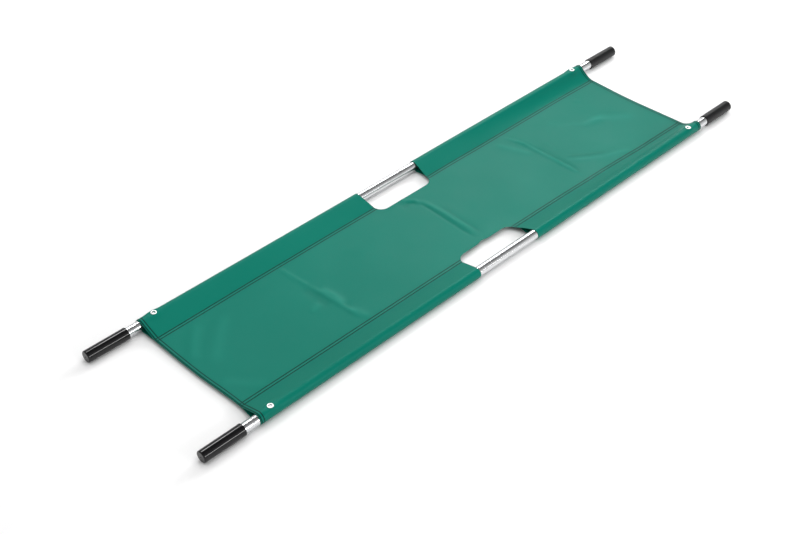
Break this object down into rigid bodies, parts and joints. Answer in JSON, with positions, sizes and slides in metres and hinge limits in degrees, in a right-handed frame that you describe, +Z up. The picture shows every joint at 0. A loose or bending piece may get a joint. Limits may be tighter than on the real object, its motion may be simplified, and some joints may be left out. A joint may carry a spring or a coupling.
{
  "type": "rescue stretcher",
  "caption": "Rescue stretcher: coated canvas with sewn sleeves on jointed aluminium poles, with vinyl grips and spring buttons under eyelets.",
  "frame": {"origin": "centre of the bounding box at the ground the grips stand on", "axes": "X along the poles from the head end (-) to the foot end (+), +Y to the left side, +Z up"},
  "size_m": [2.2, 0.517, 0.0362],
  "materials": {
    "canvas": "PVC-coated canvas, satin",
    "thread": "dark green sewing thread",
    "tube": "drawn and satin-anodised",
    "ferrule": "turned, plain",
    "grip": "dip-moulded vinyl, gloss",
    "eyelet": "nickel-plated brass",
    "button": "nickel-plated steel",
    "spring": "spring steel strip",
    "rivet": "plain"
  },
  "bodies": {
    "canvas": {"canvas_panel": "canvas", "end_hem_head": "canvas", "end_hem_foot": "canvas", "hem_thread_head": "thread", "hem_thread_foot": "thread", "seam_thread_left": "thread", "seam_thread_right": "thread", "sleeve_left_head": "canvas", "sleeve_left_foot": "canvas", "sleeve_right_head": "canvas", "sleeve_right_foot": "canvas", "eyelet_left_head": "eyelet", "eyelet_left_foot": "eyelet", "eyelet_right_head": "eyelet", "eyelet_right_foot": "eyelet", "eyelet_washer_left_head": "eyelet", "eyelet_washer_left_foot": "eyelet", "eyelet_washer_right_head": "eyelet", "eyelet_washer_right_foot": "eyelet"},
    "pole_left_head": {"pole_tube_left_head": "tube", "grip_left_head": "grip", "button_spring_left_head": "spring", "ferrule_left": "ferrule", "ferrule_rivets_left": "rivet"},
    "button_left_head": {"spring_button_left_head": "button"},
    "pole_left_foot": {"pole_tube_left_foot": "tube", "grip_left_foot": "grip", "button_spring_left_foot": "spring"},
    "button_left_foot": {"spring_button_left_foot": "button"},
    "pole_right_head": {"pole_tube_right_head": "tube", "grip_right_head": "grip", "button_spring_right_head": "spring", "ferrule_right": "ferrule", "ferrule_rivets_right": "rivet"},
    "button_right_head": {"spring_button_right_head": "button"},
    "pole_right_foot": {"pole_tube_right_foot": "tube", "grip_right_foot": "grip", "button_spring_right_foot": "spring"},
    "button_right_foot": {"spring_button_right_foot": "button"}
  },
  "joints": [
    {"name": "draw_out_left_head", "type": "slide", "parent": "canvas", "child": "pole_left_head", "axis": [-1, 0, 0], "range_m": [0, 1]},
    {"name": "draw_out_left_foot", "type": "slide", "parent": "canvas", "child": "pole_left_foot", "axis": [1, 0, 0], "range_m": [0, 1]},
    {"name": "draw_out_right_head", "type": "slide", "parent": "canvas", "child": "pole_right_head", "axis": [-1, 0, 0], "range_m": [0, 1]},
    {"name": "draw_out_right_foot", "type": "slide", "parent": "canvas", "child": "pole_right_foot", "axis": [1, 0, 0], "range_m": [0, 1]},
    {"name": "press_left_head", "type": "slide", "parent": "pole_left_head", "child": "button_left_head", "axis": [0, 0, -1], "range_m": [0, 0.0017], "stiffness_N_per_m": 1500, "springref_m": -0.001, "deforming": ["button_spring_left_head"]},
    {"name": "press_left_foot", "type": "slide", "parent": "pole_left_foot", "child": "button_left_foot", "axis": [0, 0, -1], "range_m": [0, 0.0017], "stiffness_N_per_m": 1500, "springref_m": -0.001, "deforming": ["button_spring_left_foot"]},
    {"name": "press_right_head", "type": "slide", "parent": "pole_right_head", "child": "button_right_head", "axis": [0, 0, -1], "range_m": [0, 0.0017], "stiffness_N_per_m": 1500, "springref_m": -0.001, "deforming": ["button_spring_right_head"]},
    {"name": "press_right_foot", "type": "slide", "parent": "pole_right_foot", "child": "button_right_foot", "axis": [0, 0, -1], "range_m": [0, 0.0017], "stiffness_N_per_m": 1500, "springref_m": -0.001, "deforming": ["button_spring_right_foot"]}
  ]
}
